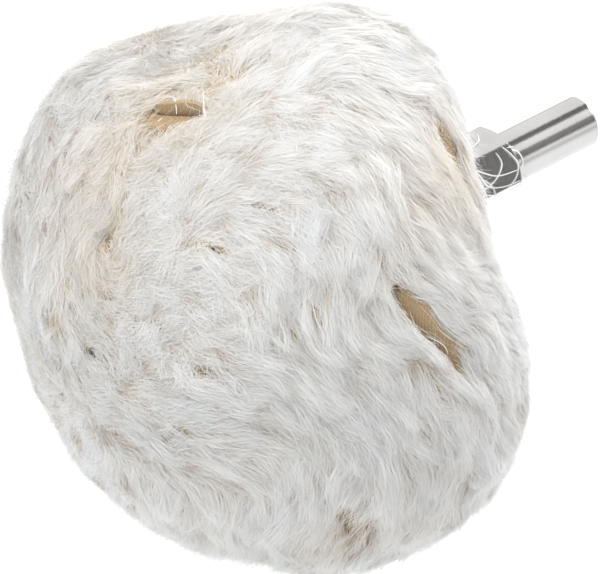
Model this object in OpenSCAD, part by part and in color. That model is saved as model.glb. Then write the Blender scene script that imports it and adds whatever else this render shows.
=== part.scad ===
// Domed cotton polishing wheel on a steel mandrel.
// +Y runs along the spin axis and out of the mop, +Z is up.
// The origin is on the axis, where the round shank meets the end of the collar.

/* [Mandrel] */
// Diameter of the round shank that goes into the chuck
shank_d = 6; // [5.8:0.1:6.2]
// Length of round shank beyond the collar
shank_l = 12.5; // [10:0.5:30]
// Width of the collar across its flats
collar_af = 8.1; // [7.6:0.1:9]
// Length of the hexagonal collar
collar_l = 15; // [12:0.5:17]
// Diameter of the stud that carries the cloth
stud_d = 5; // [4.6:0.1:5.2]
// Length of stud beyond the face of the nut
stud_tip = 2.4; // [1:0.2:3]
// Turn of the hexagons about the axis, in degrees
hex_turn = 57; // [0:1:59]

/* [Clamp] */
// Diameter of the rear steel washer
rear_washer_d = 16; // [13:0.5:18]
// Diameter of the rear fibre washer
rear_pad_d = 18; // [14:0.5:20]
// Diameter of the front steel washer
front_washer_d = 12; // [10:0.5:13]
// Diameter of the front fibre washer
front_pad_d = 13.5; // [11:0.5:14]
// Thickness of each steel washer
washer_t = 1.2; // [1:0.1:1.4]
// Thickness of each fibre washer
pad_t = 1; // [0.8:0.1:1.2]
// Thickness of the spring washer
lock_t = 1.2; // [1:0.1:1.4]
// Diameter of the spring washer
lock_d = 9.2; // [8.8:0.1:9.6]
// Width of the nut across its flats
nut_af = 8; // [7.8:0.1:8.2]
// Height of the nut
nut_h = 4; // [3:0.5:4]

/* [Cloth] */
// Radius of the mop at its widest
mop_r = 31; // [27:0.5:35]
// Depth from the widest circle to the flat back
back_depth = 21.5; // [19:0.5:24]
// Depth from the widest circle to the front of the dome
front_depth = 23.5; // [21:0.5:26]
// Squareness of the back edge, where 2 is an ellipse
back_power = 4; // [2.5:0.5:6]
// Squareness of the dome, where 2 is an ellipse
dome_power = 2; // [1.8:0.1:2.6]
// Length of cloth clamped between the washers
stack_l = 28; // [24:0.5:30]
// Radius that the washers hold flat
hub_r = 7; // [6:0.5:8]

/* [Hidden] */

smooth = 96;          // sides of a round shape
ply_count = 18;       // sewn sections of cloth
bore_gap = 0.05;      // radial clearance on the stud
back_angle = -38;     // where the first ply's edge starts, seen from the widest circle's centre
front_angle = 84;     // where the last ply's edge ends
edge_gap = 0.55;      // angle left open beside each ply's edge
edge_swell = 0.018;   // how far a ply's edge rounds outwards, as a share of its radius
chamfer = 0.35;       // edge break on the shank and stud
collar_bevel = 37;    // slope of the collar's turned corners, in degrees
collar_land = 0.3;    // how far the collar's end circle lies inside its flats
lock_cut = 0.9;       // width of the spring washer's split

collar_corner = collar_af / sqrt(3);
nut_corner = nut_af / sqrt(3);
collar_end_r = collar_af / 2 - collar_land;
bevel_step = 0.2;     // how far the bevel's cone runs past the corners
bevel_l = (collar_corner + bevel_step - collar_end_r) * tan(collar_bevel);

// Places along the axis, all behind the origin
rear_washer_y = -collar_l;
rear_pad_y = rear_washer_y - washer_t;
stack_y = rear_pad_y - pad_t;
front_pad_y = stack_y - stack_l;
front_washer_y = front_pad_y - pad_t;
lock_y = front_washer_y - washer_t;
nut_y = lock_y - lock_t;
stud_y = nut_y - nut_h - stud_tip;
widest_y = stack_y - back_depth + 0.3;

function ply_name(i) = str("ply_", i < 10 ? "0" : "", i);

// The mop's outline, as [radius, y], at an angle from its widest circle
function outline(angle, swell = 0) =
    let (
        power = angle < 0 ? back_power : dome_power,
        depth = angle < 0 ? back_depth : front_depth,
        across = pow(cos(angle) / mop_r, power),
        along = pow(abs(sin(angle)) / depth, power),
        reach = (1 + swell) * pow(across + along, -1 / power)
    )
    [reach * cos(angle), widest_y - reach * sin(angle)];

function bezier(p, t) =
    pow(1 - t, 3) * p[0] + 3 * t * pow(1 - t, 2) * p[1]
    + 3 * t * t * (1 - t) * p[2] + pow(t, 3) * p[3];

// A line of cloth from the hub, at y, out to the outline at an angle
function fan(y, angle) =
    let (
        start = [hub_r, y],
        end = outline(angle),
        span = norm(end - start),
        lead_out = [0.5 * span, 0],
        lead_in = 0.35 * span * [cos(angle), -sin(angle)]
    )
    [for (t = [0 : 0.125 : 1]) bezier([start, start + lead_out, end - lead_in, end], t)];

function reversed(list) = [for (i = [len(list) - 1 : -1 : 0]) list[i]];

// Turns an outline of [radius, y] points about the spin axis
module turned(points) {
    rotate([-90, 0, 0])
        rotate_extrude($fn = smooth)
            polygon(points);
}

// A hexagonal bar along the spin axis, from y towards +Y
module hexagon(corner, y, length, turn) {
    translate([0, y, 0])
        rotate([-90, turn, 0])
            cylinder(r = corner, h = length, $fn = 6);
}

// A flat ring on the stud, lying behind y
module ring(diameter, y, thickness) {
    inner = stud_d / 2 + bore_gap;
    outer = diameter / 2;
    turned([
        [inner, y], [outer - 0.15, y], [outer, y - 0.15],
        [outer, y - thickness + 0.15], [outer - 0.15, y - thickness], [inner, y - thickness]
    ]);
}

module mandrel() {
    color([0.80, 0.81, 0.82])
    union() {
        turned([
            [0, -0.5], [shank_d / 2, -0.5], [shank_d / 2, shank_l - chamfer],
            [shank_d / 2 - chamfer, shank_l], [0, shank_l]
        ]);
        intersection() {
            hexagon(collar_corner, -collar_l, collar_l, hex_turn);
            turned([
                [0, -collar_l - 1], [collar_corner + bevel_step, -collar_l - 1],
                [collar_corner + bevel_step, -bevel_l], [collar_end_r, 0], [0, 0]
            ]);
        }
        turned([
            [0, -collar_l + 0.5], [0, stud_y], [stud_d / 2 - chamfer, stud_y],
            [stud_d / 2, stud_y + chamfer], [stud_d / 2, -collar_l + 0.5]
        ]);
    }
}

module washer_rear() {
    color([0.74, 0.75, 0.76])
        ring(rear_washer_d, rear_washer_y, washer_t);
}

module pad_rear() {
    color([0.45, 0.20, 0.14])
        ring(rear_pad_d, rear_pad_y, pad_t);
}

// One sewn section of cloth, clamped flat at the hub and fanned out to its edge
module ply(i) {
    pitch = stack_l / ply_count;
    step = (front_angle - back_angle) / ply_count;
    back_y = stack_y - (i - 1) * pitch;
    front_y = back_y - pitch;
    first = back_angle + (i - 1) * step + edge_gap;
    last = back_angle + i * step - edge_gap;
    inner = stud_d / 2 + bore_gap;
    color([0.95, 0.94, 0.90])
        turned(concat(
            [[inner, back_y]],
            fan(back_y, first),
            [for (s = [0.2 : 0.2 : 0.8])
                outline(first + s * (last - first), edge_swell * sin(180 * s))],
            reversed(fan(front_y, last)),
            [[inner, front_y]]
        ));
}

module pad_front() {
    color([0.45, 0.20, 0.14])
        ring(front_pad_d, front_pad_y, pad_t);
}

module washer_front() {
    color([0.74, 0.75, 0.76])
        ring(front_washer_d, front_washer_y, washer_t);
}

module lock_washer() {
    color([0.60, 0.61, 0.63])
    difference() {
        ring(lock_d, lock_y, lock_t);
        translate([0, lock_y - lock_t / 2, 0])
            rotate([0, 60, 0])
                translate([-lock_cut / 2, -lock_t, 0])
                    cube([lock_cut, 2 * lock_t, lock_d]);
    }
}

module nut() {
    color([0.72, 0.73, 0.75])
    difference() {
        intersection() {
            hexagon(nut_corner, nut_y - nut_h, nut_h, hex_turn + 20);
            turned([
                [0, nut_y], [nut_af / 2 - 0.1, nut_y], [nut_corner + 0.1, nut_y - 0.4],
                [nut_corner + 0.1, nut_y - nut_h + 0.4], [nut_af / 2 - 0.1, nut_y - nut_h],
                [0, nut_y - nut_h]
            ]);
        }
        turned([
            [0, nut_y + 1], [stud_d / 2 + bore_gap, nut_y + 1],
            [stud_d / 2 + bore_gap, nut_y - nut_h - 1], [0, nut_y - nut_h - 1]
        ]);
    }
}

mandrel();
washer_rear();
pad_rear();
for (i = [1 : ply_count])
    ply(i);
pad_front();
washer_front();
lock_washer();
nut();
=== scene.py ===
"""The looks of a domed cotton polishing wheel: its cloth, its nap and its plated mandrel.

Lengths are in millimetres until a mesh is made, in the CAD's frame: +Y runs along the spin axis and out
of the mop, +Z is up, and the origin is where the round shank meets the collar. A place on the mop is a
direction from the mop's centre, called a way. Its azimuth turns from +X towards +Z, and its latitude runs
from the back (-90) to the front of the dome (90), both in degrees.
"""
import math
from collections import namedtuple

import bpy
import numpy as np
from mathutils import Matrix, Vector
from mathutils.kdtree import KDTree


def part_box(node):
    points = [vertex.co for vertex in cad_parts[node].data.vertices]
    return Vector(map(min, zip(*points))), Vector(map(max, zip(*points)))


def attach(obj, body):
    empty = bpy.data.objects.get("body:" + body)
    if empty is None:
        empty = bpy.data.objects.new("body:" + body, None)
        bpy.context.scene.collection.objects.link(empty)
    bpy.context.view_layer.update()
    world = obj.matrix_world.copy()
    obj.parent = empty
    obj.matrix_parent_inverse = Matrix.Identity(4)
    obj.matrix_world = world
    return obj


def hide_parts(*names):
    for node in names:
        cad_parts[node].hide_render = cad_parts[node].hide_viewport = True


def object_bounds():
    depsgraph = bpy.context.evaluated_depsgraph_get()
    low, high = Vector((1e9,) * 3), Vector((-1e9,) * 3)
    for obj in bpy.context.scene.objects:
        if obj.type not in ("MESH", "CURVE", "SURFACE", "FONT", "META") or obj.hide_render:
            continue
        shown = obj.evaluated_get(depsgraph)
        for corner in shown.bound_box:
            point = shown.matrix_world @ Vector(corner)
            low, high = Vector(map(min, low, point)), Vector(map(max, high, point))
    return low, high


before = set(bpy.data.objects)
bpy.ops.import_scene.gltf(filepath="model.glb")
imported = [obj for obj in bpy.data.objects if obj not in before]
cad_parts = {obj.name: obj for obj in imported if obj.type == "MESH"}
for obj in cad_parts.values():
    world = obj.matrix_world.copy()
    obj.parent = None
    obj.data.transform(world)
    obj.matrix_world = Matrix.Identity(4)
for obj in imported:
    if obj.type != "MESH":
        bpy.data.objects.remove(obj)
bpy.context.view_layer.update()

MM = 0.001
PLIES = sorted(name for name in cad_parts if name.startswith("ply_"))

# ---------------------------------------------------------------- sizes

STACK_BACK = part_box("pad_rear")[0][1] / MM
STACK_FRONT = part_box("pad_front")[1][1] / MM
BORE_R = 2.55                 # the hole through the cloth
HUB_R = 7.0                   # the radius that the washers hold flat
DOME_R = 31.35                # over the nap, at the widest circle
BACK_DEPTH = 21.3             # from the widest circle to the flat back
FRONT_DEPTH = 23.75           # from the widest circle to the front of the dome
BACK_POWER = 2.9
FRONT_POWER = 1.85
CENTRE_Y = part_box("ply_18")[0][1] / MM + 25.0
BACK_LAT = -38.0              # where the first ply's edge starts
FRONT_LAT = 84.0              # where the last ply's edge ends
BARE_LAT = -62.0              # the back's nap stops here, short of the washer
BROAD_SWELL = 0.35            # the height of the mop's broad unevenness
SMALL_SWELL = 0.22            # and of its small one
EDGE_SWAY = 1.3               # how far the plies' edges sway, in degrees
CLOSED_PARTING = 0.12         # how far each ply keeps from a closed edge, in degrees
CLOTH_DEPTH = 9.0             # where the cloth counts as wholly inside the mop
PATTERN_R = 30.0              # the sphere that the soft patterns are laid out on
STRAY_R = 31.0                # the same for the straying of the comb

# Soft rises and hollows in the mop's outline: azimuth, latitude, height and spread in degrees
LUMPS = [
    (85, -32, 4.6, 18),
    (64, -38, 2.2, 13),
    (-35, -18, 3.2, 24),
    (-20, -30, 1.8, 17),
    (40, -26, -0.6, 18),
    (115, -2, -4.2, 18),
    (141, 3, 1.6, 13),
    (-100, 20, 1.2, 30),
    (-100, 38, 1.1, 13),
    (16, -40, -1.1, 8),
    (68, -34, -0.6, 7),
    (82, -33, 0.6, 7),
    (-50, -4, -0.4, 6),
    (-61, 17, 0.6, 7),
    (150, 30, 1.0, 25),
]

# How the nap is combed: azimuth, latitude and heading, which is 0 to the back and 90 to a larger azimuth
COMB = [
    (65, 22, -30), (59, 16, -65), (54, 27, -75), (49, 16, -95), (49, 7, -95), (43, 26, -110),
    (38, 32, -115), (38, 22, -110), (30, 26, -100), (48, 48, -5), (43, 40, -10), (37, 47, 0),
    (23, 50, -95), (20, 44, -60), (21, 37, -25), (21, 26, -25), (17, 20, -45), (10, 36, -10),
    (23, 16, -65), (28, 11, -75), (33, 14, -75), (13, 11, -50), (6, 20, -30), (-5, 25, -95),
    (-11, 32, -125), (2, 12, -60), (-3, 10, -75), (-9, 16, -100), (-1, 2, -85), (-12, 6, -95),
    (8, 2, -55), (4, -3, -70), (18, -11, -50), (28, -15, -45), (8, -14, -70), (18, 6, -50),
    (-6, -23, -65), (-13, -14, -105), (-15, 2, -85), (-25, 20, -95), (-30, 30, -85), (-18, 40, 10),
    (-6, 41, -5), (3, 50, -10), (-7, 59, 25), (13, 62, 15), (1, 76, 35), (-24, 66, 40),
    (-61, 52, -25), (-90, 53, -20), (-43, 33, -60), (73, 82, -70), (40, 68, -10), (64, 58, -20),
    (134, 68, 165), (114, 43, 155), (80, 38, -30), (83, 22, -20), (72, 22, -20), (83, -2, -15),
    (72, -16, -15), (63, -7, -105), (46, -14, -85), (82, -20, -75), (54, 5, -75), (69, 6, -40),
    (107, -16, -60), (105, 15, 160), (145, 40, 170), (150, 10, 160), (60, -32, -95), (30, -34, -75),
    (0, -36, -80), (-35, -5, -95), (-60, 10, -80), (-100, 20, -60),
]
COMB_REACH = 8.0              # degrees over which one heading gives way to the next
LOOSE_HEADING = -70.0         # where nothing else combs the nap
COMB_HOLD = 0.15              # how strongly the comb pulls a bending strand back

# Where the nap is short and matted: azimuth, latitude and spread in degrees
MATTED = [(118, 45, 30), (105, 12, 22), (150, 25, 40), (95, 62, 20), (-150, 50, 35)]

# Patches where the nap is tinted tan: azimuth, latitude, spread in degrees and strength
TAN_PATCHES = [
    (97, 20, 9, 0.35), (118, 40, 14, 0.18), (100, 60, 12, 0.15), (103, 2, 10, 0.15),
    (52, -24, 8, 0.30), (48, -8, 9, 0.10), (-165, 30, 20, 0.15), (-120, 0, 14, 0.20),
    (150, -5, 14, 0.15), (-30, 15, 8, 0.15),
]

# Openings between two plies; their places and sizes are in degrees. The lead makes the end at the larger
# azimuth wider, and the slit lies across the opening from -1 at its back edge to 1 at its front edge.
Gap = namedtuple("Gap", "azimuth latitude half_length half_width slope lead slit")
GAPS = [
    Gap(18, -2.7, 12.0, 3.0, 0.48, 0.5, 1.0),
    Gap(96, 17.5, 6.8, 4.3, 0.50, 0.0, 0.0),
    Gap(51.5, -25, 7.0, 1.7, 0.10, 0.5, 1.0),
    Gap(31, 20.5, 3.5, 1.2, 0.20, 0.0, 0.4),
    Gap(59, 19.5, 3.0, 1.0, 0.70, 0.0, 0.4),
    Gap(57, 33, 3.0, 1.1, 0.70, 0.0, 0.4),
    Gap(-29, 14.5, 6.0, 2.4, 0.60, 0.0, 0.8),
    Gap(-120, 5, 11.0, 2.6, 0.20, 0.3, 0.9),
    Gap(-170, -10, 9.0, 2.2, -0.20, 0.0, 0.6),
    Gap(170, 26, 8.0, 2.4, 0.20, 0.3, 0.9),
]

# Small hollows where the cloth shows through the nap: azimuth, latitude and radius in degrees
PITS = [
    (116, -12, 3.0), (100, 2, 2.6), (97, 30, 2.4), (93, 40.5, 1.4), (95, 53, 2.2), (89, 66, 2.2),
    (134, 52, 3.2), (131, 36.5, 2.6), (122, 30, 2.2), (161, 45, 3.0), (27, 26, 1.6), (25, 31.5, 2.0),
    (23, 49.5, 2.6), (56, 40, 1.6), (-79, 52, 4.0), (-25, 50, 1.8), (-23, 47, 1.8), (-26, 40, 2.2),
    (-28, 31.5, 1.6), (-16, 63, 2.0), (-22, 60.5, 1.6), (-34, 9, 2.2), (110, 8, 1.8), (80, 84.5, 2.0),
    (122, 73, 2.0), (-60, 20, 2.0), (-95, 35, 2.2), (-140, 20, 2.0), (150, -5, 2.0), (-160, 45, 2.4),
    (-110, 60, 2.2),
]

# ---------------------------------------------------------------- shapes on the mop

CENTRE = np.array([0.0, CENTRE_Y, 0.0])


def ripple(seed, wavelength, waves=20):
    """A smooth function of place with a mean of 0 and a spread of about 1."""
    rng = np.random.default_rng(seed)
    way = rng.normal(size=(waves, 3))
    way /= np.linalg.norm(way, axis=1)[:, None]
    way *= (2 * math.pi / wavelength * rng.uniform(0.65, 1.5, waves))[:, None]
    start = rng.uniform(0, 2 * math.pi, waves)
    return lambda place: np.sin(place @ way.T + start).sum(-1) * math.sqrt(2 / waves)


def direction(azimuth, latitude):
    a = np.radians(azimuth)
    b = np.radians(latitude)
    return np.stack([np.cos(b) * np.cos(a), -np.sin(b) + 0 * a, np.cos(b) * np.sin(a)], -1)


def azimuth_of(way):
    return np.degrees(np.arctan2(way[..., 2], way[..., 0]))


def latitude_of(way):
    return np.degrees(np.arcsin(np.clip(-way[..., 1], -1, 1)))


def heading_vector(azimuth, latitude, heading):
    a = np.radians(azimuth)
    b = np.radians(latitude)
    h = np.radians(heading)
    back = np.stack([np.sin(b) * np.cos(a), np.cos(b) + 0 * a, np.sin(b) * np.sin(a)], -1)
    round_ = np.stack([-np.sin(a), 0 * a, np.cos(a)], -1)
    return np.cos(h)[..., None] * back + np.sin(h)[..., None] * round_


def unit(v):
    return v / np.maximum(np.linalg.norm(v, axis=-1, keepdims=True), 1e-9)


def turn_between(a, b):
    """The signed turn in degrees from b to a."""
    return (a - b + 180) % 360 - 180


def nearness(way, azimuth, latitude, spread):
    """1 at a place on the mop, falling to 0 over the spread."""
    cosine = way @ direction(np.float64(azimuth), np.float64(latitude))
    return np.exp((cosine - 1) / math.radians(spread) ** 2)


broad_swell = ripple(3, 22)
small_swell = ripple(4, 8)


def reach(way):
    """The distance from the centre to the top of the nap."""
    across = np.hypot(way[..., 0], way[..., 2])
    along = -way[..., 1]
    behind = along < 0
    power = np.where(behind, BACK_POWER, FRONT_POWER)
    depth = np.where(behind, BACK_DEPTH, FRONT_DEPTH)
    length = ((across / DOME_R) ** power + (np.abs(along) / depth) ** power) ** (-1 / power)
    for azimuth, latitude, height, spread in LUMPS:
        length = length + height * nearness(way, azimuth, latitude, spread)
    place = way * PATTERN_R
    return length + BROAD_SWELL * broad_swell(place) + SMALL_SWELL * small_swell(place)


def matted(way):
    """1 where the nap is short and matted, 0 where it is long and combed."""
    total = sum(nearness(way, *patch) for patch in MATTED)
    return np.clip(total, 0, 1)


def tan_tint_at(way):
    """How far the nap is tinted tan at a place, from 0 to 1, with more tan towards the flat back."""
    total = sum(level * nearness(way, *patch) for *patch, level in TAN_PATCHES)
    behind = np.clip((-latitude_of(way) - 44) / 12, 0, 1)
    return np.clip(total + 0.2 * behind, 0, 0.6)


def surface(way):
    return CENTRE + way * reach(way)[..., None]


def normal_at(way, step=0.01):
    """The outward normal of the nap's top."""
    helper = np.where(np.abs(way[..., 1:2]) < 0.9, [0.0, 1.0, 0.0], [1.0, 0.0, 0.0])
    first = unit(np.cross(way, helper))
    second = np.cross(way, first)
    middle = surface(way)
    one = surface(unit(way + step * first)) - middle
    two = surface(unit(way + step * second)) - middle
    out = unit(np.cross(one, two))
    return out * np.sign((out * way).sum(-1, keepdims=True))


comb_places = np.array([direction(np.float64(a), np.float64(b)) for a, b, h in COMB])
comb_vectors = np.array([heading_vector(np.float64(a), np.float64(b), np.float64(h)) for a, b, h in COMB])
stray_x, stray_y, stray_z = ripple(11, 5.5), ripple(12, 5.5), ripple(13, 5.5)
fine_x, fine_y, fine_z = ripple(14, 1.9), ripple(15, 1.9), ripple(16, 1.9)


def comb(way):
    """The way the nap lies, as a unit vector along the surface."""
    weight = np.exp((way @ comb_places.T - 1) / math.radians(COMB_REACH) ** 2)
    turn = np.full(way.shape[:-1], LOOSE_HEADING)
    loose = heading_vector(azimuth_of(way), latitude_of(way), turn)
    along = weight @ comb_vectors + 0.01 * loose
    along = along / np.maximum(np.linalg.norm(along, axis=-1, keepdims=True), 0.005)
    place = way * STRAY_R
    messy = matted(way)[..., None]
    coarse = np.stack([stray_x(place), stray_y(place), stray_z(place)], -1)
    fine = np.stack([fine_x(place), fine_y(place), fine_z(place)], -1)
    along = along + coarse * (0.20 + 0.25 * messy) + fine * (0.10 + 0.35 * messy)
    along = along - way * (along * way).sum(-1, keepdims=True)
    return unit(along)


# ---------------------------------------------------------------- edges of the plies

PLY_STEP = (FRONT_LAT - BACK_LAT) / len(PLIES)
edge_sway = ripple(40, 20)
ragged_edge = ripple(41, 1.1)


def nearest_edge(gap):
    k = round((gap.latitude - BACK_LAT) / PLY_STEP)
    return int(np.clip(k, 1, len(PLIES) - 1))


def gap_shape(gap, azimuth):
    """The latitude of a gap's middle and its half width at an azimuth, and how near the gap that is."""
    turn = turn_between(azimuth, gap.azimuth)
    share = np.clip(turn / gap.half_length, -1, 1)
    open_ = gap.half_width * np.sqrt(1 - share**2) * (1 + gap.lead * share)
    near = np.exp(-((turn / (1.5 * gap.half_length)) ** 4))
    return gap.latitude + gap.slope * turn * near, open_, near


def warp(way):
    """How far the edges of the plies sway from even circles, in degrees of latitude."""
    azimuth = azimuth_of(way)
    latitude = latitude_of(way)
    inside = np.clip((latitude - BACK_LAT) / 8, 0, 1) * np.clip((FRONT_LAT - latitude) / 8, 0, 1)
    total = EDGE_SWAY * edge_sway(way * PATTERN_R) * inside
    for gap in GAPS:
        middle, open_, near = gap_shape(gap, azimuth)
        shift = middle + gap.slit * open_ - (BACK_LAT + nearest_edge(gap) * PLY_STEP)
        total = total + shift * near * np.exp(-(((latitude - middle) / 12) ** 2))
    return total


def edge_line(k, azimuth):
    """The latitude between ply k and the next at an azimuth."""
    base = BACK_LAT + k * PLY_STEP
    line = np.full_like(azimuth, base)
    for _ in range(8):
        line = base + warp(direction(azimuth, line))
    return line


def in_gap(way, back=1.0, front=1.0):
    """True where an opening between two plies leaves no nap; lower shares let more over its two edges."""
    azimuth = azimuth_of(way)
    latitude = latitude_of(way)
    inside = np.zeros(way.shape[:-1], bool)
    for gap in GAPS:
        middle, open_, _ = gap_shape(gap, azimuth)
        open_ = open_ * (1 + 0.12 * ragged_edge(way * PATTERN_R))
        over = back if gap.slit > 0.5 else np.maximum(back, 0.75)
        inside |= (latitude > middle - open_ * over) & (latitude < middle + open_ * front)
    return inside


def in_pit(way):
    """1 in the middle of a small hollow in the nap, falling to 0 at its edge."""
    deepest = np.zeros(way.shape[:-1])
    for middle, height, radius in PITS:
        deepest = np.maximum(deepest, nearness(way, middle, height, radius * 0.7))
    return np.clip(deepest * (1 + 0.35 * ragged_edge(way * PATTERN_R)), 0, 1)


def ply_of(way):
    """The index of the ply that a place on the mop belongs to."""
    index = np.floor((latitude_of(way) - warp(way) - BACK_LAT) / PLY_STEP).astype(int)
    return np.clip(index, 0, len(PLIES) - 1)


# ---------------------------------------------------------------- materials


def new_material(name):
    material = bpy.data.materials.new(name)
    material.use_nodes = True
    tree = material.node_tree
    shader = tree.nodes["Principled BSDF"]
    return material, tree, shader


def noise(tree, scale, detail, place):
    node = tree.nodes.new("ShaderNodeTexNoise")
    node.inputs["Scale"].default_value = scale
    node.inputs["Detail"].default_value = detail
    tree.links.new(place, node.inputs["Vector"])
    return node.outputs["Fac"]


def bumped(tree, height, strength, distance, normal=None):
    """The normal that a height gives to a surface, over an earlier normal where there is one."""
    node = tree.nodes.new("ShaderNodeBump")
    node.inputs["Strength"].default_value = strength
    node.inputs["Distance"].default_value = distance
    tree.links.new(height, node.inputs["Height"])
    if normal is not None:
        tree.links.new(normal, node.inputs["Normal"])
    return node.outputs["Normal"]


def ramp(tree, value, stops):
    node = tree.nodes.new("ShaderNodeValToRGB")
    elements = node.color_ramp.elements
    while len(elements) < len(stops):
        elements.new(0.5)
    for element, (place, colour) in zip(elements, stops):
        element.position = place
        element.color = (*colour, 1)
    tree.links.new(value, node.inputs["Fac"])
    return node.outputs["Color"]


def object_place(tree):
    return tree.nodes.new("ShaderNodeTexCoord").outputs["Object"]


def mix_colour(tree, blend, factor, first, second):
    """One colour blended with another, by a number or by a node's output."""
    node = tree.nodes.new("ShaderNodeMix")
    node.data_type = "RGBA"
    node.blend_type = blend
    if isinstance(factor, float):
        node.inputs["Factor"].default_value = factor
    else:
        tree.links.new(factor, node.inputs["Factor"])
    tree.links.new(first, node.inputs[6])
    tree.links.new(second, node.inputs[7])
    return node.outputs[2]


def let_light_through(tree, shader, colour, share):
    """Mix a share of translucent light into a material, as thin fibre has."""
    through = tree.nodes.new("ShaderNodeBsdfTranslucent")
    tree.links.new(colour, through.inputs["Color"])
    both = tree.nodes.new("ShaderNodeMixShader")
    both.inputs["Fac"].default_value = share
    tree.links.new(shader.outputs["BSDF"], both.inputs[1])
    tree.links.new(through.outputs["BSDF"], both.inputs[2])
    tree.links.new(both.outputs["Shader"], tree.nodes["Material Output"].inputs["Surface"])


def nap_material():
    """Cotton fibre: near white at the tip and tan at the root, partly its own tan and partly painted
    shade in the crevices between tufts; it lets light through.
    """
    material, tree, shader = new_material("cotton_nap")
    strand = tree.nodes.new("ShaderNodeUVMap")
    strand.uv_map = "Strand"
    parts = tree.nodes.new("ShaderNodeSeparateXYZ")
    tree.links.new(strand.outputs["UV"], parts.inputs["Vector"])
    # Tan towards the root: partly the cotton's own tan, partly painted shade for the crevices between
    # tufts where the roots lie
    along = ramp(tree, parts.outputs["Y"], [
        (0.0, (0.74, 0.62, 0.47)), (0.25, (0.90, 0.88, 0.84)), (0.6, (0.945, 0.944, 0.942)),
    ])
    # The tan that strands in the tan patches are tinted with
    tan_colour = tree.nodes.new("ShaderNodeRGB")
    tan_colour.outputs[0].default_value = (0.83, 0.72, 0.57, 1)
    along = mix_colour(tree, "MIX", parts.outputs["X"], along, tan_colour.outputs[0])
    tint = ramp(tree, noise(tree, 90, 3, object_place(tree)), [
        (0.3, (0.985, 0.975, 0.955)), (0.65, (1.0, 1.0, 1.0)),
    ])
    colour = mix_colour(tree, "MULTIPLY", 1.0, along, tint)
    tree.links.new(colour, shader.inputs["Base Color"])
    shader.inputs["Roughness"].default_value = 0.85
    shader.inputs["Specular IOR Level"].default_value = 0.25
    shader.inputs["Sheen Weight"].default_value = 0.15
    let_light_through(tree, shader, colour, 0.4)
    return material


def cloth_material():
    """Unbleached cotton in a plain weave, frayed to white fluff along its cut edge."""
    material, tree, shader = new_material("cotton_cloth")
    place = object_place(tree)
    threads = []
    for axis in ("X", "Z"):
        wave = tree.nodes.new("ShaderNodeTexWave")
        wave.bands_direction = axis
        wave.inputs["Scale"].default_value = 1400
        wave.inputs["Distortion"].default_value = 0.8
        wave.inputs["Detail"].default_value = 1
        tree.links.new(place, wave.inputs["Vector"])
        threads.append(wave.outputs["Fac"])
    weave = tree.nodes.new("ShaderNodeMath")
    weave.operation = "MULTIPLY"
    tree.links.new(threads[0], weave.inputs[0])
    tree.links.new(threads[1], weave.inputs[1])
    shade = ramp(tree, weave.outputs[0], [
        (0.0, (0.46, 0.32, 0.18)), (0.5, (0.61, 0.46, 0.28)), (1.0, (0.71, 0.56, 0.38)),
    ])
    blotch = ramp(tree, noise(tree, 160, 4, place), [
        (0.3, (0.84, 0.80, 0.74)), (0.7, (1.0, 1.0, 1.0)),
    ])
    woven = mix_colour(tree, "MULTIPLY", 1.0, shade, blotch)
    fluff = ramp(tree, noise(tree, 1500, 4, place), [
        (0.3, (0.72, 0.64, 0.52)), (0.65, (0.83, 0.77, 0.68)),
    ])
    edge = tree.nodes.new("ShaderNodeUVMap")
    edge.uv_map = "Strand"
    parts = tree.nodes.new("ShaderNodeSeparateXYZ")
    tree.links.new(edge.outputs["UV"], parts.inputs["Vector"])
    ragged = tree.nodes.new("ShaderNodeMath")
    ragged.operation = "MULTIPLY_ADD"
    tree.links.new(noise(tree, 700, 4, place), ragged.inputs[0])
    ragged.inputs[1].default_value = 0.25
    tree.links.new(parts.outputs["Y"], ragged.inputs[2])
    frayed = tree.nodes.new("ShaderNodeMapRange")
    frayed.inputs["From Min"].default_value = 0.90
    frayed.inputs["From Max"].default_value = 1.02
    tree.links.new(ragged.outputs[0], frayed.inputs["Value"])
    colour = mix_colour(tree, "MIX", frayed.outputs["Result"], woven, fluff)
    tree.links.new(colour, shader.inputs["Base Color"])
    shader.inputs["Roughness"].default_value = 0.95
    shader.inputs["Sheen Weight"].default_value = 0.1
    tree.links.new(bumped(tree, weave.outputs[0], 0.7, 0.0002), shader.inputs["Normal"])
    return material


def steel_material(name, colour, roughness, streak):
    """Plated or plain steel, with turning marks round the spin axis."""
    material, tree, shader = new_material(name)
    place = object_place(tree)
    stretch = tree.nodes.new("ShaderNodeMapping")
    stretch.inputs["Scale"].default_value = (30, 3000, 30)
    tree.links.new(place, stretch.inputs["Vector"])
    marks = noise(tree, 1.0, 4, stretch.outputs["Vector"])
    smears = noise(tree, 240, 3, place)
    tint = ramp(tree, smears, [(0.3, tuple(0.9 * c for c in colour)), (0.7, colour)])
    tree.links.new(tint, shader.inputs["Base Color"])
    shader.inputs["Metallic"].default_value = 1.0
    rough = tree.nodes.new("ShaderNodeMapRange")
    rough.inputs["To Min"].default_value = roughness * 0.7
    rough.inputs["To Max"].default_value = roughness * 1.5
    tree.links.new(marks, rough.inputs["Value"])
    tree.links.new(rough.outputs["Result"], shader.inputs["Roughness"])
    worn = tree.nodes.new("ShaderNodeBevel")
    worn.samples = 6
    worn.inputs["Radius"].default_value = 0.00022
    grain = bumped(tree, noise(tree, 5000, 3, place), 0.5, 0.00002, worn.outputs["Normal"])
    tree.links.new(bumped(tree, marks, streak, 0.00003, grain), shader.inputs["Normal"])
    return material


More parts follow.
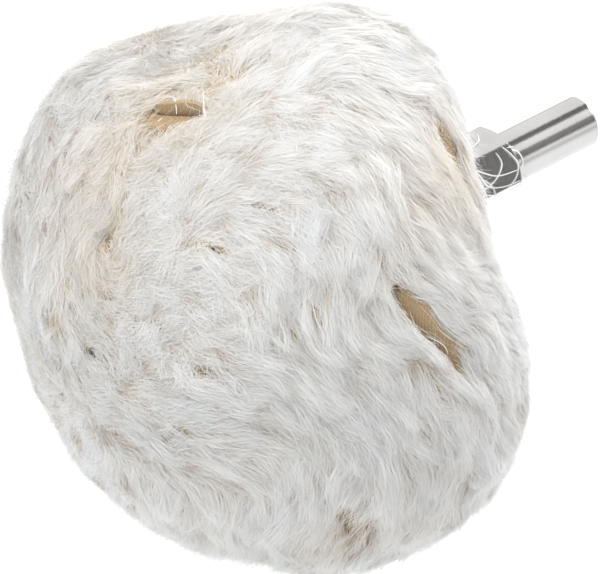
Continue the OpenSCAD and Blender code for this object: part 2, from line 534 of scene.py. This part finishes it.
def thread_material():
    """Loose white cotton thread with a twist along it."""
    material, tree, shader = new_material("cotton_thread")
    place = object_place(tree)
    tint = ramp(tree, noise(tree, 900, 3, place), [
        (0.3, (0.86, 0.86, 0.87)), (0.7, (0.95, 0.95, 0.95)),
    ])
    tree.links.new(tint, shader.inputs["Base Color"])
    shader.inputs["Roughness"].default_value = 0.8
    shader.inputs["Sheen Weight"].default_value = 0.2
    twist = bumped(tree, noise(tree, 6000, 2, place), 0.4, 0.00005)
    tree.links.new(twist, shader.inputs["Normal"])
    let_light_through(tree, shader, tint, 0.25)
    return material


def fibre_material():
    """Red vulcanised fibre."""
    material, tree, shader = new_material("red_fibre")
    place = object_place(tree)
    tint = ramp(tree, noise(tree, 500, 5, place), [
        (0.3, (0.30, 0.09, 0.05)), (0.7, (0.45, 0.17, 0.10)),
    ])
    tree.links.new(tint, shader.inputs["Base Color"])
    shader.inputs["Roughness"].default_value = 0.7
    return material


NAP = nap_material()
CLOTH = cloth_material()
THREAD = thread_material()
PLATED = steel_material("plated_steel", (0.63, 0.62, 0.605), 0.13, 0.3)
WASHER = steel_material("washer_steel", (0.66, 0.67, 0.68), 0.32, 0.5)
SPRING = steel_material("spring_steel", (0.40, 0.41, 0.42), 0.38, 0.5)
FIBRE = fibre_material()

# ---------------------------------------------------------------- meshes


def add_mesh(name, places, faces, material, strand, normals=None):
    """A mesh from points in millimetres and quads, with normals of its own where they are given.

    The UV map "Strand" tells the nap's material how far a strand is tinted tan (X) and how far along it a
    point lies (Y), and it tells the cloth's material how near its cut edge a point lies (Y).
    """
    mesh = bpy.data.meshes.new(name)
    mesh.vertices.add(len(places))
    mesh.vertices.foreach_set("co", (places * MM).astype(np.float32).ravel())
    mesh.loops.add(faces.size)
    mesh.loops.foreach_set("vertex_index", faces.astype(np.int32).ravel())
    mesh.polygons.add(len(faces))
    mesh.polygons.foreach_set("loop_start", np.arange(0, faces.size, 4, dtype=np.int32))
    mesh.update(calc_edges=True)
    layer = mesh.uv_layers.new(name="Strand")
    layer.data.foreach_set("uv", strand[faces.ravel()].astype(np.float32).ravel())
    mesh.polygons.foreach_set("use_smooth", np.full(len(faces), True))
    if normals is not None:
        shading = mesh.attributes.new("custom_normal", "FLOAT_VECTOR", "POINT")
        shading.data.foreach_set("vector", normals.astype(np.float32).ravel())
    mesh.materials.append(material)
    piece = bpy.data.objects.new(name, mesh)
    bpy.context.scene.collection.objects.link(piece)
    return piece


def nap_depth(way):
    """How far the edge of the cloth lies under the top of the nap."""
    return 1.8 - 0.5 * matted(way) + 0.3 * in_pit(way)


def smooth(value, low, high):
    t = np.clip((value - low) / (high - low), 0, 1)
    return t * t * (3 - 2 * t)


def cloth_edge(way, index):
    """How far ply number index lies under the top of the nap, and how bare its cloth is there."""
    azimuth = azimuth_of(way)
    latitude = latitude_of(way)
    depth = nap_depth(way)
    bare = smooth(in_pit(way), 0.1, 0.6)
    for gap in GAPS:
        middle, open_, _ = gap_shape(gap, azimuth)
        slit = gap.slit
        if nearest_edge(gap) == index + 1:
            into = (latitude - middle + open_) / np.maximum((1 + slit) * open_, 0.05)
        elif nearest_edge(gap) == index:
            into = (middle + open_ - latitude) / np.maximum((1 - slit) * open_, 0.05)
        else:
            continue
        width = smooth(open_, 0.0, 0.8)
        inward = np.clip(into, 0, 1)
        if slit > 0.5:
            sink = 0.6 + 2.4 * inward**1.4 * smooth(open_, 0.0, 2.0)
        elif nearest_edge(gap) == index + 1:
            sink = 0.6 - 0.7 * np.sin(math.pi * inward) * smooth(open_, 1.5, 3.0) + 1.8 * inward**5
        else:
            sink = 0.6 + 0.6 * inward**2
        here = smooth(into, -0.5, 0.1) * width
        depth = depth + (sink - depth) * here
        bare = np.maximum(bare, smooth(into, -0.35, -0.05) * width)
    return depth, bare


def in_half_plane(way, depth):
    """A place at a depth under the nap as [radius, y]."""
    length = reach(way) - depth
    across = np.hypot(way[..., 0], way[..., 2])
    return np.stack([across * length, CENTRE_Y + way[..., 1] * length], -1)


def fan(hub_y, azimuth, latitude, index, steps=12):
    """Lines of cloth from the hub out to a latitude of the edge, one for each azimuth."""
    way = direction(azimuth, latitude)
    end = in_half_plane(way, cloth_edge(way, index)[0])
    start = np.stack([np.full_like(azimuth, HUB_R), np.full_like(azimuth, hub_y)], -1)
    span = np.linalg.norm(end - start, axis=-1, keepdims=True)
    b = np.radians(latitude)[:, None]
    first = start + 0.5 * span * np.array([1.0, 0.0])
    second = end - 0.35 * span * np.concatenate([np.cos(b), -np.sin(b)], -1)
    t = np.linspace(0, 1, steps)[None, :, None]
    return (
        (1 - t) ** 3 * start[:, None] + 3 * t * (1 - t) ** 2 * first[:, None]
        + 3 * t * t * (1 - t) * second[:, None] + t**3 * end[:, None]
    )


def parting(k, azimuth):
    """How far each ply keeps from edge k, in degrees; more where an opening shows the slit there."""
    apart = np.full_like(azimuth, CLOSED_PARTING)
    for gap in GAPS:
        if nearest_edge(gap) == k and gap.slit < 0.9:
            _, open_, _ = gap_shape(gap, azimuth)
            turn = np.clip(turn_between(azimuth, gap.azimuth) / gap.half_length, -1, 1)
            apart = apart + 0.55 * open_ / gap.half_width * (1 - 0.7 * turn) * smooth(open_, 0.0, 1.0)
    return apart


def cloth_section(index, around=270):
    """One sewn section of cloth: flat at the hub, fanned out and swaying at its edge."""
    azimuth = np.arange(around) * 360 / around - 180
    pitch = (STACK_BACK - STACK_FRONT) / len(PLIES)
    back_y = STACK_BACK - index * pitch
    front_y = back_y - pitch
    first = edge_line(index, azimuth) + parting(index, azimuth)
    last = np.maximum(edge_line(index + 1, azimuth) - parting(index + 1, azimuth), first + 0.5)
    back = fan(back_y, azimuth, first, index)
    front = fan(front_y, azimuth, last, index)
    rim, bare = [], []
    for share in (0.06, 0.15, 0.25, 0.35, 0.45, 0.55, 0.65, 0.75, 0.85, 0.94):
        latitude = first + share * (last - first)
        way = direction(azimuth, latitude)
        depth, bareness = cloth_edge(way, index)
        swell = 0.3 * math.sin(math.pi * share) * (1 - bareness)
        rim.append(in_half_plane(way, depth - swell))
        bare.append(3.0 * bareness)
    inner = np.maximum(np.linalg.norm(back[:, -1:] - back, axis=-1), bare[0][:, None])
    outer = np.maximum(np.linalg.norm(front[:, -1:] - front, axis=-1), bare[-1][:, None])
    bore = np.full((around, 1, 2), BORE_R)
    bore_back = bore.copy()
    bore_back[..., 1] = back_y
    bore_front = bore.copy()
    bore_front[..., 1] = front_y
    loop = np.concatenate([bore_back, back, np.stack(rim, 1), front[:, ::-1], bore_front], 1)
    a = np.radians(azimuth)[:, None]
    places = np.stack([loop[..., 0] * np.cos(a), loop[..., 1], loop[..., 0] * np.sin(a)], -1)
    count = loop.shape[1]
    i, j = np.meshgrid(np.arange(around), np.arange(count), indexing="ij")
    i2 = (i + 1) % around
    j2 = (j + 1) % count
    faces = np.stack([i * count + j, i2 * count + j, i2 * count + j2, i * count + j2], -1)
    deep = np.full((around, 1), CLOTH_DEPTH)
    under = np.concatenate([deep, inner, np.stack(bare, 1), outer[:, ::-1], deep], 1)
    across = np.broadcast_to(azimuth[:, None] / 360 + 0.5, under.shape)
    strand = np.stack([across, 1 - under / CLOTH_DEPTH], -1)
    name = PLIES[index]
    piece = add_mesh(
        f"{name}_cloth", places.reshape(-1, 3), faces.reshape(-1, 4), CLOTH, strand.reshape(-1, 2)
    )
    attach(piece, "root")
    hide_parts(name)


# ---------------------------------------------------------------- the nap

TUFTS_PER_MM2 = 1.5
LOCKS_PER_MM2 = 0.42
LOCK_PULL = 0.75              # how far a lock draws its tufts together at the tip
LOCK_ROUND = 0.42             # how far the shading turns away to the sides of a lock
STRANDS = 24                  # strands in a tuft
STRAND_LENGTH = 5.0           # where the nap is long
MATTED_SHORTER = 1.5          # how much shorter it is where the nap is matted
BACK_SHORTER = 1.5            # and on the flat back
STRAND_WIDTH = 0.07
TUFT_R = 1.05                 # the radius of a tuft at its root
LOOSE_SHARE = 0.08            # the share of strands that stand off the nap
FIBRE_WIDTH = 0.045
LINT_WIDTH = 0.035
THREAD_WIDTH = 0.11
BENDS = 4                     # points along a strand
MOST_TUFTS = 1300             # in one piece
AREA_SPARE = 1.25             # room for the mop's surface being larger than a sphere's


def tuft_places(rng, per_mm2):
    """Directions spread evenly over the mop's surface."""
    area = 4 * math.pi * DOME_R**2 * AREA_SPARE
    count = int(area * per_mm2 * (1.0))
    way = unit(rng.normal(size=(count * 2, 3)))
    out = normal_at(way)
    share = reach(way) ** 2 / np.maximum((way * out).sum(-1), 0.25)
    keep = rng.uniform(0, 1, len(way)) < share / (DOME_R**2 * AREA_SPARE) * 0.5
    way = way[keep]
    way = way[latitude_of(way) > BARE_LAT]
    way = way[~in_gap(way)]
    return way[rng.uniform(0, 1, len(way)) > 0.65 * in_pit(way)]


def follow(way, length, bends, turn, curve):
    """Lines over the nap that turn away from the comb and bend, and the outward way along them."""
    lines, outs = [], []
    step = length[:, None] / (bends - 1)
    for bend in range(bends):
        lines.append(way)
        out = normal_at(way)
        outs.append(out)
        along = comb(way)
        if bend == 0:
            heading = along * np.cos(turn) + np.cross(out, along) * np.sin(turn)
        else:
            heading = heading * np.cos(curve) + np.cross(out, heading) * np.sin(curve)
            heading = unit(heading + COMB_HOLD * along)
        here = surface(way) + heading * step
        way = unit(here - CENTRE)
    return surface(np.stack(lines, 1)), np.stack(outs, 1)


def grow_locks(rng):
    """Locks that tufts lie in: where each starts, and the line that it draws its tufts to."""
    way = tuft_places(rng, LOCKS_PER_MM2)
    count = len(way)
    turn = rng.normal(0, 0.12, (count, 1))
    curve = rng.normal(0, 0.2, (count, 1))
    line, out = follow(way, rng.uniform(4.0, 6.5, count), BENDS, turn, curve)
    lift = rng.normal(0, 0.36, (count, 1)) * np.linspace(0, 1, BENDS)
    return way, line + out * lift[..., None]


def nearest_lock(way, lock_way):
    """The index of the lock that starts nearest to each tuft."""
    tree = KDTree(len(lock_way))
    for index, place in enumerate(lock_way):
        tree.insert(place, index)
    tree.balance()
    return np.array([tree.find(place)[1] for place in way])


def grow_tufts(rng, way, lock_line):
    """Strands as thin ribbons, drawn together at the tip of their tuft, and tufts towards their lock.

    Their normals are mostly the mop's own, because fluff scatters light like one soft surface, and they
    turn away to both sides of a lock, which rounds it.
    """
    count = len(way)
    messy = matted(way)
    behind = np.clip((-latitude_of(way) - 34) / 8, 0, 1)
    length = STRAND_LENGTH - MATTED_SHORTER * messy - BACK_SHORTER * behind
    length = length * rng.uniform(0.7, 1.3, count)
    turn = rng.normal(0, 1, (count, 1)) * (0.15 + 0.25 * messy[:, None])
    curve = rng.normal(0, 0.15, (count, 1))
    line, out = follow(way, length, BENDS, turn, curve)
    drawn = LOCK_PULL * (1 - 0.6 * messy)[:, None] * np.linspace(0, 1, BENDS) ** 1.3
    line = line + (lock_line - line) * drawn[..., None]
    along = np.gradient(line, axis=1)
    along = unit(along - out * (along * out).sum(-1, keepdims=True))
    side = np.cross(out, along)

    t = np.linspace(0, 1, BENDS)[None, None, :]
    shape = (count, STRANDS, 1)
    gathered = rng.uniform(0, 1, (count, 1, 1)) * (1 - 0.5 * messy[:, None, None])
    turn = rng.uniform(0, 2 * math.pi, shape)
    apart = TUFT_R * np.sqrt(rng.uniform(0, 1, shape)) * (1 - 0.3 * messy[:, None, None])
    pinch = 1 - 0.8 * gathered * t**1.2
    across = apart * np.cos(turn) * pinch
    forward = apart * np.sin(turn) + rng.normal(0, 0.6, shape) * t
    curl = rng.normal(0, 1, shape) * (0.2 + 0.15 * messy[:, None, None]) * np.sin(math.pi * t)
    splay = rng.normal(0, 1, shape) * (0.32 + 0.30 * messy[:, None, None]) * t
    across = across + curl + splay
    depth = 0.3 + nap_depth(way)[:, None, None] * (1 - 0.25 * behind[:, None, None])
    sunk = depth * rng.uniform(0.25, 1.0, shape) * (1 - t) ** 1.6
    tuft_lift = (0.45 * (gathered - 0.5) + rng.normal(0, 0.14, (count, 1, 1))) * np.sqrt(t)
    strand_lift = rng.normal(0, 0.10, shape) * t
    loose = (rng.uniform(0, 1, shape) < LOOSE_SHARE) * rng.uniform(0.3, 1.2, shape) * t**2
    height = -sunk + tuft_lift + strand_lift + loose - 0.25 * t

    centre = (
        line[:, None] + side[:, None] * across[..., None]
        + along[:, None] * forward[..., None] + out[:, None] * height[..., None]
    )
    lean = rng.uniform(-0.7, 0.7, shape)[..., None]
    face = unit(side[:, None] * np.cos(lean) + out[:, None] * np.sin(lean))
    taper = (1 - 0.75 * t**1.5) * STRAND_WIDTH * rng.uniform(0.7, 1.3, shape) * 0.5
    left = centre - face * taper[..., None]
    right = centre + face * taper[..., None]
    places = np.stack([left, right], 3).reshape(count * STRANDS, -1, 3)
    facing = out[:, None] * np.cos(lean) - side[:, None] * np.sin(lean)
    even = unit((centre - CENTRE) * np.array([1.0, 1.5, 1.0]))
    beside = centre - lock_line[:, None]
    beside = beside - out[:, None] * (beside * out[:, None]).sum(-1, keepdims=True)
    beside = beside / np.maximum(1.0, np.linalg.norm(beside, axis=-1, keepdims=True))
    soft = unit(0.15 * facing + 0.85 * even + LOCK_ROUND * beside)
    normals = np.repeat(soft, 2, axis=2).reshape(count * STRANDS, -1, 3)

    over = unit(centre[:, :, 1:] - CENTRE)
    back_share = rng.uniform(0.3, 0.95, shape)
    front_share = rng.uniform(0.72, 1.0, shape)
    shut = in_gap(over, back_share, front_share).any(-1) | (in_pit(over).max(-1) > 0.6)
    keep = (~shut | (rng.uniform(0, 1, shut.shape) < 0.02)).reshape(-1)

    total = int(keep.sum())
    base = (np.arange(total) * BENDS * 2)[:, None] + (np.arange(BENDS - 1) * 2)[None]
    faces = np.stack([base, base + 2, base + 3, base + 1], -1).reshape(-1, 4)
    # How far each strand is tinted tan
    tan_share = np.clip(tan_tint_at(way)[:, None, None] * rng.uniform(0.2, 1.8, shape), 0, 1)
    tan_share = np.broadcast_to(tan_share, (count, STRANDS, BENDS))
    strand = np.stack([tan_share, np.broadcast_to(t, tan_share.shape)], -1)
    strand = np.repeat(strand, 2, axis=2).reshape(count * STRANDS, -1, 2)
    return places[keep].reshape(-1, 3), faces, strand[keep].reshape(-1, 2), normals[keep].reshape(-1, 3)


def make_nap():
    rng = np.random.default_rng(2024)
    lock_way, lock_line = grow_locks(rng)
    way = tuft_places(rng, TUFTS_PER_MM2)
    way = way[np.argsort(azimuth_of(way))]
    lock = nearest_lock(way, lock_way)
    index = ply_of(way)
    for k, name in enumerate(PLIES):
        mine = np.flatnonzero(index == k)
        parts = math.ceil(len(mine) / MOST_TUFTS)
        for number, part in enumerate(np.array_split(mine, parts)):
            places, faces, strand, normals = grow_tufts(rng, way[part], lock_line[lock[part]])
            label = f"{name}_nap" if parts == 1 else f"{name}_nap_{number + 1}"
            piece = add_mesh(label, places, faces, NAP, strand, normals)
            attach(piece, "root")


def ribbons(line, out, width):
    """Thin flat ribbons along lines of points, as places and quads."""
    along = unit(np.gradient(line, axis=1))
    side = unit(np.cross(out, along))
    bends = line.shape[1]
    t = np.linspace(0, 1, bends)[None, :, None]
    half = 0.5 * width * (1 - 0.6 * np.abs(2 * t - 1) ** 3)
    places = np.stack([line - side * half, line + side * half], 2).reshape(-1, 3)
    base = (np.arange(len(line)) * bends * 2)[:, None] + (np.arange(bends - 1) * 2)[None]
    faces = np.stack([base, base + 2, base + 3, base + 1], -1).reshape(-1, 4)
    strand = np.tile([0.0, 1.0], (len(places), 1))
    normals = np.repeat(out, 2, axis=1).reshape(-1, 3)
    return places, faces, strand, normals


def loose_fibres(count=420, bends=12):
    """Long single fibres that lie loose over the nap."""
    rng = np.random.default_rng(77)
    way = unit(rng.normal(size=(count * 2, 3)))
    way = way[latitude_of(way) > -45][:count]
    count = len(way)
    turn = rng.normal(0, 0.7, (count, 1))
    curve = rng.normal(0, 0.16, (count, 1))
    line, out = follow(way, rng.uniform(3, 7, count), bends, turn, curve)
    t = np.linspace(0, 1, bends)[None, :, None]
    lift = -0.9 * np.abs(2 * t - 1) ** 3 + rng.uniform(0.05, 0.55, (count, 1, 1))
    lift = lift + rng.normal(0, 0.25, (count, 1, 1)) * np.sin(2 * math.pi * t)
    places, faces, strand, normals = ribbons(line + out * lift, out, FIBRE_WIDTH)
    piece = add_mesh("loose_fibres", places, faces, NAP, strand, normals)
    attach(piece, "root")


def lint(count=26000, bends=4):
    """Short fine fibres that stand off the nap and soften its outline."""
    rng = np.random.default_rng(91)
    way = unit(rng.normal(size=(count, 3)))
    way = way[(latitude_of(way) > BARE_LAT) & ~in_gap(way)]
    count = len(way)
    out = normal_at(way)
    lean = unit(comb(way) + rng.normal(0, 0.5, (count, 3)))
    rise = rng.uniform(0.1, 0.8, (count, 1))
    length = rng.uniform(0.7, 2.0, (count, 1))
    t = np.linspace(0, 1, bends)
    height = -0.3 + rise * length * t
    forward = length * (0.4 * t + 0.6 * t**2)
    line = surface(way)[:, None] + out[:, None] * height[..., None]
    line = line + lean[:, None] * forward[..., None]
    outs = np.repeat(out[:, None], bends, axis=1)
    places, faces, strand, normals = ribbons(line, outs, LINT_WIDTH)
    piece = add_mesh("lint", places, faces, NAP, strand, normals)
    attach(piece, "root")


# Threads that lie over the collar: points as y along the axis, angle about it and height over the steel
COLLAR_THREADS = [
    [(-8.5, 60, 0.4), (-6.0, 48, 0.1), (-3.6, 26, 0.1), (-0.6, 20, 0.1)],
    [(-7.5, 64, 0.3), (-5.8, 40, 0.1), (-5.2, 18, 0.1), (-3.4, 8, 0.1), (-0.9, 6, 0.2)],
    [(-2.6, 58, 0.1), (-2.4, 40, 0.1), (-3.6, 24, 0.1), (-5.6, 16, 0.1), (-8.5, 18, 0.3)],
    [(-1.6, 62, 0.1), (-0.9, 47, 0.2), (-0.4, 28, 0.1), (-1.2, 12, 0.1), (-2.8, 4, 0.2)],
    [(-9.0, 30, 0.4), (-6.5, 12, 0.2), (-4.2, 2, 0.3), (-1.8, -2, 0.2), (-0.6, 2, 0.2)],
    [(-9.5, 10, 0.4), (-7.4, -4, 0.2), (-5.6, -14, 0.1), (-4.0, -30, 0.2)],
    [(-9.0, -8, 0.4), (-7.0, -12, 0.1), (-5.4, -4, 0.3), (-4.6, 10, 0.1), (-5.4, 30, 0.1)],
    [(-9.0, 46, 0.4), (-7.2, 36, 0.1), (-6.2, 26, 0.1), (-6.0, 6, 0.3), (-7.2, -10, 0.2)],
    [(-8.0, 100, 0.3), (-5.0, 88, 0.1), (-3.0, 92, 0.1), (-2.0, 110, 0.1)],
    [(-8.5, 150, 0.3), (-6.0, 170, 0.1), (-4.5, 200, 0.2), (-5.5, 230, 0.1)],
    [(-8.5, 250, 0.3), (-6.0, 262, 0.1), (-3.0, 258, 0.1), (-1.5, 240, 0.2)],
    [(-1.0, 57, 0.1), (0.4, 52, 0.3), (1.0, 40, 0.1), (1.0, 20, 0.1), (0.2, 8, 0.3), (-0.8, 4, 0.2)],
]
COLLAR_FLATS = 8.1            # the collar's width across its flats
COLLAR_TURN = 33.0            # the angle of one of its flats
SHANK_R = 3.0
PULLED_THREADS = 130          # the finer threads that the cloth's edge sheds round the collar


def over_collar(along, angle, height):
    """A place over the collar's flats or the round shank."""
    off = (angle - COLLAR_TURN + 30) % 60 - 30
    flat = COLLAR_FLATS / 2 / np.cos(np.radians(off))
    radius = np.where(along < 0, flat, SHANK_R) + height
    a = np.radians(angle)
    return np.stack([radius * np.cos(a), along, radius * np.sin(a)], -1)


def collar_threads(bends=28):
    """Threads out of the cloth that cling to the collar, some listed and the finer ones by chance."""
    rng = np.random.default_rng(5)
    paths = [np.array(points, float) for points in COLLAR_THREADS]
    for _ in range(PULLED_THREADS):
        start = rng.uniform(0, 360)
        end = start + rng.normal(0, 22)
        reach_y = -11.5 + rng.uniform(1.0, 5.5)
        middle = (start + end) / 2 + rng.normal(0, 14)
        paths.append(np.array([
            (-13.0, start, 0.9), (-11.5, start + rng.normal(0, 10), 0.4),
            (-10.2, middle, 0.15), (reach_y, end, 0.2),
        ]))
    lines = []
    for points in paths:
        bend = spline(points, bends)
        lines.append(over_collar(bend[:, 0], bend[:, 1], np.maximum(bend[:, 2], 0.06)))
    line = np.array(lines)
    out = unit(line * np.array([1.0, 0.0, 1.0]))
    width = np.where(np.arange(len(line)) < len(COLLAR_THREADS), 0.15, 0.07)[:, None, None]
    places, faces, strand, normals = ribbons(line, out, width)
    piece = add_mesh("collar_threads", places, faces, THREAD, strand, normals)
    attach(piece, "root")


# Stray threads that stand out on the nap: points as azimuth, latitude and height over the nap
NAP_THREADS = [
    [(93, 10.0, 0.3), (91, 11.5, 0.5), (88.5, 14.0, 0.1), (86.5, 15.5, -0.3)],
    [(101, 15.5, -0.4), (98, 15.0, 0.1), (95.5, 17.5, -0.5)],
    [(35, 20.5, -0.2), (30, 20.8, 0.3), (23, 20.0, -0.2)],
    [(99, 21.5, -0.9), (98.2, 20.0, -0.5)],
    [(95, 22.0, -0.9), (94.6, 20.2, -0.4)],
    [(92, 21.0, -0.9), (92.5, 19.4, -0.4)],
    [(22, -6.0, -0.8), (25, -3.0, -0.3), (27, 0.0, -0.5)],
    [(12, -5.0, -0.8), (15, -3.5, -0.2), (18, -0.5, -0.6)],
]


def spline(points, bends):
    """Points along a smooth curve that passes through the given ones."""
    t = np.linspace(0, len(points) - 1, bends)
    i = np.clip(t.astype(int), 0, len(points) - 2)
    f = (t - i)[:, None]
    before = points[np.maximum(i - 1, 0)]
    after = points[np.minimum(i + 2, len(points) - 1)]
    p, q = points[i], points[i + 1]
    return 0.5 * (
        2 * p + (q - before) * f + (2 * before - 5 * p + 4 * q - after) * f**2
        + (3 * p - before - 3 * q + after) * f**3
    )


def nap_threads(bends=16):
    """The listed stray threads over the nap and the openings."""
    lines = []
    outs = []
    for points in NAP_THREADS:
        path = spline(np.array(points, float), bends)
        way = direction(path[:, 0], path[:, 1])
        out = normal_at(way)
        lines.append(surface(way) + out * path[:, 2:])
        outs.append(out)
    places, faces, strand, normals = ribbons(np.array(lines), np.array(outs), THREAD_WIDTH)
    piece = add_mesh("nap_threads", places, faces, THREAD, strand, normals)
    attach(piece, "root")


for ply_index in range(len(PLIES)):
    cloth_section(ply_index)
make_nap()
loose_fibres()
lint()
nap_threads()
collar_threads()

# ---------------------------------------------------------------- hardware

FINISH = {
    "mandrel": PLATED, "washer_rear": WASHER, "washer_front": WASHER, "nut": WASHER,
    "lock_washer": SPRING, "pad_rear": FIBRE, "pad_front": FIBRE,
}
for name, material in FINISH.items():
    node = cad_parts[name]
    node.data.materials.clear()
    node.data.materials.append(material)

# ---------------------------------------------------------------- floor, lights and camera

scene = bpy.context.scene
scene.view_settings.view_transform = "Standard"
scene.cycles.diffuse_bounces = 8

CAMERA_AZIMUTH = 49.2
CAMERA_HEIGHT = 35.8          # degrees above the horizon
CAMERA_DISTANCE = 3000.0
VIEW_WIDTH = 67.3             # what the picture takes in, at the shank
SENSOR = 36.0
AIM_RIGHT = -22.35            # the middle of the picture from the origin
AIM_UP = -13.98

a = math.radians(CAMERA_AZIMUTH)
e = math.radians(CAMERA_HEIGHT)
right = np.array([math.cos(a), math.sin(a), 0])
back = np.array([math.sin(a) * math.cos(e), -math.cos(a) * math.cos(e), math.sin(e)])
up = np.cross(back, right)
aim = AIM_RIGHT * right + AIM_UP * up

camera_data = bpy.data.cameras.new("camera")
camera = bpy.data.objects.new("camera", camera_data)
scene.collection.objects.link(camera)
camera_data.sensor_width = SENSOR
camera_data.lens = SENSOR * CAMERA_DISTANCE / VIEW_WIDTH
camera_data.clip_end = 20.0
camera_data.clip_start = 0.01
eye = (aim + back * CAMERA_DISTANCE) * MM
camera.matrix_world = Matrix((
    (right[0], up[0], back[0], eye[0]),
    (right[1], up[1], back[1], eye[1]),
    (right[2], up[2], back[2], eye[2]),
    (0, 0, 0, 1),
))
scene.camera = camera


def area_light(name, place, target, size, power, colour):
    data = bpy.data.lights.new(name, "AREA")
    data.shape = "SQUARE"
    data.size = size * MM
    data.energy = power
    data.color = colour
    lamp = bpy.data.objects.new(name, data)
    scene.collection.objects.link(lamp)
    lamp.location = Vector(place) * MM
    aim_way = Vector(target) * MM - lamp.location
    lamp.rotation_euler = aim_way.to_track_quat("-Z", "Y").to_euler()


mop = Vector((0, CENTRE_Y, 0))


def from_view(to_right, to_up, to_camera):
    """A place given in the camera's own directions, from the middle of the mop."""
    return mop + Vector(right * to_right + up * to_up + back * to_camera)


area_light("key", from_view(-30, 320, 200), mop, 260, 0.66, (0.95, 0.975, 1.0))
area_light("front", from_view(-60, 120, 420), mop, 320, 0.68, (0.95, 0.975, 1.0))
area_light("fill", from_view(-310, 60, 220), mop, 300, 0.62, (0.90, 0.95, 1.0))
area_light("right", from_view(300, 300, -40), mop, 160, 0.95, (0.96, 0.98, 1.0))

world = bpy.data.worlds.new("studio")
world.use_nodes = True
world.node_tree.nodes["Background"].inputs["Color"].default_value = (1, 1, 1, 1)


def card(tree, way, centre, inner, outer, level):
    """The level inside a round patch of the studio and 1 outside it; its sizes are in degrees."""
    dot = tree.nodes.new("ShaderNodeVectorMath")
    dot.operation = "DOT_PRODUCT"
    tree.links.new(way, dot.inputs[0])
    dot.inputs[1].default_value = Vector(centre).normalized()
    edge = tree.nodes.new("ShaderNodeMapRange")
    edge.inputs["From Min"].default_value = math.cos(math.radians(outer))
    edge.inputs["From Max"].default_value = math.cos(math.radians(inner))
    edge.inputs["To Min"].default_value = 1.0
    edge.inputs["To Max"].default_value = level
    tree.links.new(dot.outputs["Value"], edge.inputs["Value"])
    return edge.outputs["Result"]


# The studio: a light wall behind the shank, and grey cards that put dark bands on the polished steel
CARDS = [
    ((-0.037, 0.53, 0.847), 11, 12.5, 0.13),
    ((0.72, 0.53, 0.45), 11.5, 13, 0.26),
    ((0.80, 0.53, 0.27), 4.5, 6, 0.40),
]
sky = world.node_tree
sky_way = sky.nodes.new("ShaderNodeTexCoord").outputs["Generated"]
wall = sky.nodes.new("ShaderNodeSeparateXYZ")
sky.links.new(sky_way, wall.inputs["Vector"])
rise = sky.nodes.new("ShaderNodeMapRange")
rise.inputs["From Min"].default_value = 0.1
rise.inputs["From Max"].default_value = 0.4
rise.inputs["To Min"].default_value = 0.56
rise.inputs["To Max"].default_value = 1.15
sky.links.new(wall.outputs["Y"], rise.inputs["Value"])
sky_light = rise.outputs["Result"]
for card_sizes in CARDS:
    times = sky.nodes.new("ShaderNodeMath")
    times.operation = "MULTIPLY"
    sky.links.new(sky_light, times.inputs[0])
    sky.links.new(card(sky, sky_way, *card_sizes), times.inputs[1])
    sky_light = times.outputs[0]
sky.links.new(sky_light, sky.nodes["Background"].inputs["Strength"])
scene.world = world

floor_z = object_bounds()[0][2]
floor_mesh = bpy.data.meshes.new("floor")
half = 3.0
floor_mesh.from_pydata(
    [(-half, -half, floor_z), (half, -half, floor_z), (half, half, floor_z), (-half, half, floor_z)],
    [], [(0, 1, 2, 3)],
)
floor = bpy.data.objects.new("floor", floor_mesh)
scene.collection.objects.link(floor)
floor_material, floor_tree, floor_shader = new_material("glowing_floor")
floor_shader.inputs["Base Color"].default_value = (0.15, 0.15, 0.15, 1)
floor_shader.inputs["Roughness"].default_value = 0.8
floor_shader.inputs["Emission Color"].default_value = (0.955, 0.98, 1, 1)


def floor_glow(x, y, inner, outer, level, beyond):
    """A level of light around a spot of the floor that changes to another level beyond it."""
    near = floor_tree.nodes.new("ShaderNodeVectorMath")
    near.operation = "DISTANCE"
    floor_tree.links.new(object_place(floor_tree), near.inputs[0])
    near.inputs[1].default_value = (x * MM, y * MM, floor_z)
    glow = floor_tree.nodes.new("ShaderNodeMapRange")
    glow.interpolation_type = "SMOOTHSTEP"
    glow.inputs["From Min"].default_value = inner * MM
    glow.inputs["From Max"].default_value = outer * MM
    glow.inputs["To Min"].default_value = level
    glow.inputs["To Max"].default_value = beyond
    floor_tree.links.new(near.outputs["Value"], glow.inputs["Value"])
    return glow.outputs["Result"]


# The floor glows, so it is painted light as well as a floor: brightest round the mop, and brighter still
# in a spot where the collar's lower flat reflects it
floor_light = floor_tree.nodes.new("ShaderNodeMath")
floor_light.operation = "MULTIPLY"
floor_tree.links.new(floor_glow(0, CENTRE_Y, 90, 260, 1.09, 0.6), floor_light.inputs[0])
floor_tree.links.new(floor_glow(-0.5, 13, 7, 9, 1.6, 1.0), floor_light.inputs[1])
floor_tree.links.new(floor_light.outputs[0], floor_shader.inputs["Emission Strength"])
floor_mesh.materials.append(floor_material)
